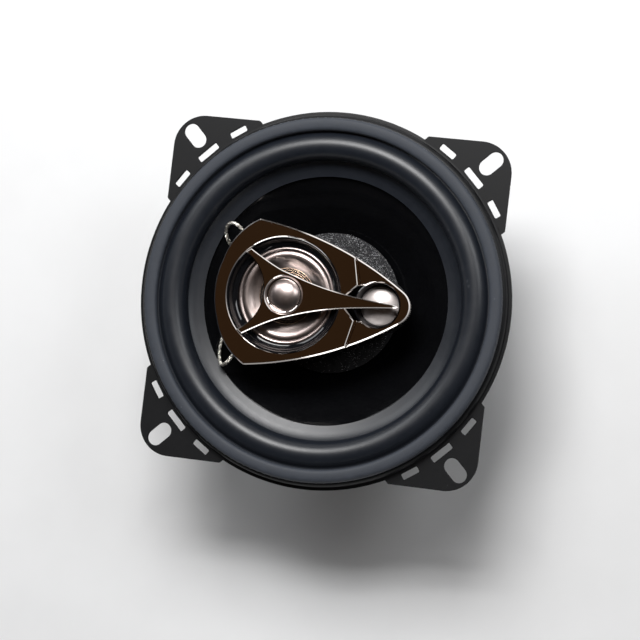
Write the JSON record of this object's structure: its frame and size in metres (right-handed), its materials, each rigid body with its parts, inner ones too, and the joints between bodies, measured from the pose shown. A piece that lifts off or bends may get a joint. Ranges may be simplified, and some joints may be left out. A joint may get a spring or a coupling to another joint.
{
  "type": "coaxial car speaker",
  "caption": "Round coaxial car speaker with slotted corner lugs, rubber-edged cone and a chromed bridge carrying a midrange and a tweeter.",
  "frame": {"origin": "centre of the rear face of the magnet yoke, on the speaker's axis", "axes": "+Z out through the front; X and Y through the four mounting slots; the bridge points midway between +X and -Y"},
  "size_m": [0.1252, 0.1252, 0.0534],
  "materials": {
    "basket_paint": "satin black powder coat",
    "gasket_board": "matt dark blue-grey",
    "surround_rubber": "satin black",
    "cone_film": "glossy black polypropylene",
    "cap_felt": "grey speckled felt",
    "spider_cloth": "resin-dipped woven cloth",
    "former_kapton": "amber film",
    "winding_copper": "enamelled copper wire",
    "plate_zinc": "zinc plated steel",
    "ferrite": "dark grey ferrite",
    "neodymium": "nickel plated",
    "board_phenolic": "brown phenolic paper",
    "tinned_brass": "tin plated brass",
    "lead_braid": "silvered tinsel braid",
    "post_plastic": "black moulded nylon",
    "fastener_steel": "zinc plated",
    "bridge_plastic": "black ABS",
    "face_chrome": "black chrome plated ABS",
    "driver_film": "metallised film, warm pearl",
    "capacitor_can": "bare can"
  },
  "bodies": {
    "frame": {"basket": "basket_paint", "basket_rivets": "plate_zinc", "board_rivets": "tinned_brass", "bridge_body": "bridge_plastic", "bridge_face": "face_chrome", "front_gasket": "gasket_board", "hub_dome": "driver_film", "jumper_lead_negative": "lead_braid", "jumper_lead_positive": "lead_braid", "jumper_tabs": "tinned_brass", "magnet": "ferrite", "mid_capacitor": "capacitor_can", "mid_edge": "driver_film", "mid_frame": "bridge_plastic", "mid_magnet": "neodymium", "mid_pole_plate": "plate_zinc", "mid_pot": "plate_zinc", "mounting_post": "post_plastic", "post_nut": "fastener_steel", "post_screw": "fastener_steel", "post_washer": "fastener_steel", "spider": "spider_cloth", "surround": "surround_rubber", "terminal_board": "board_phenolic", "terminal_negative": "tinned_brass", "terminal_positive": "tinned_brass", "terminal_rivets": "tinned_brass", "top_plate": "plate_zinc", "tweeter_capacitor": "capacitor_can", "tweeter_edge": "driver_film", "tweeter_frame": "bridge_plastic", "tweeter_magnet": "neodymium", "tweeter_pole_plate": "plate_zinc", "tweeter_pot": "plate_zinc", "woofer_lead_negative": "lead_braid", "woofer_lead_positive": "lead_braid", "yoke": "plate_zinc"},
    "woofer_cone": {"cone": "cone_film", "dust_cap": "cap_felt", "voice_coil_former": "former_kapton", "voice_coil_winding": "winding_copper", "lead_eyelets": "tinned_brass"},
    "mid_diaphragm": {"mid_cone": "driver_film", "mid_coil": "winding_copper"},
    "tweeter_diaphragm": {"tweeter_dome": "driver_film", "tweeter_coil": "winding_copper"}
  },
  "joints": [
    {"name": "woofer_excursion", "type": "slide", "parent": "frame", "child": "woofer_cone", "axis": [0, 0, 1], "range_m": [-0.0025, 0.0025], "stiffness_N_per_m": 1300, "deforming": ["surround", "spider", "woofer_lead_positive", "woofer_lead_negative", "jumper_lead_positive", "jumper_lead_negative"]},
    {"name": "mid_excursion", "type": "slide", "parent": "frame", "child": "mid_diaphragm", "axis": [0, 0, 1], "range_m": [-0.0005, 0.0005], "stiffness_N_per_m": 25, "deforming": ["mid_edge"]},
    {"name": "tweeter_excursion", "type": "slide", "parent": "frame", "child": "tweeter_diaphragm", "axis": [0, 0, 1], "range_m": [-0.00015, 0.00015], "stiffness_N_per_m": 20, "deforming": ["tweeter_edge"]}
  ]
}
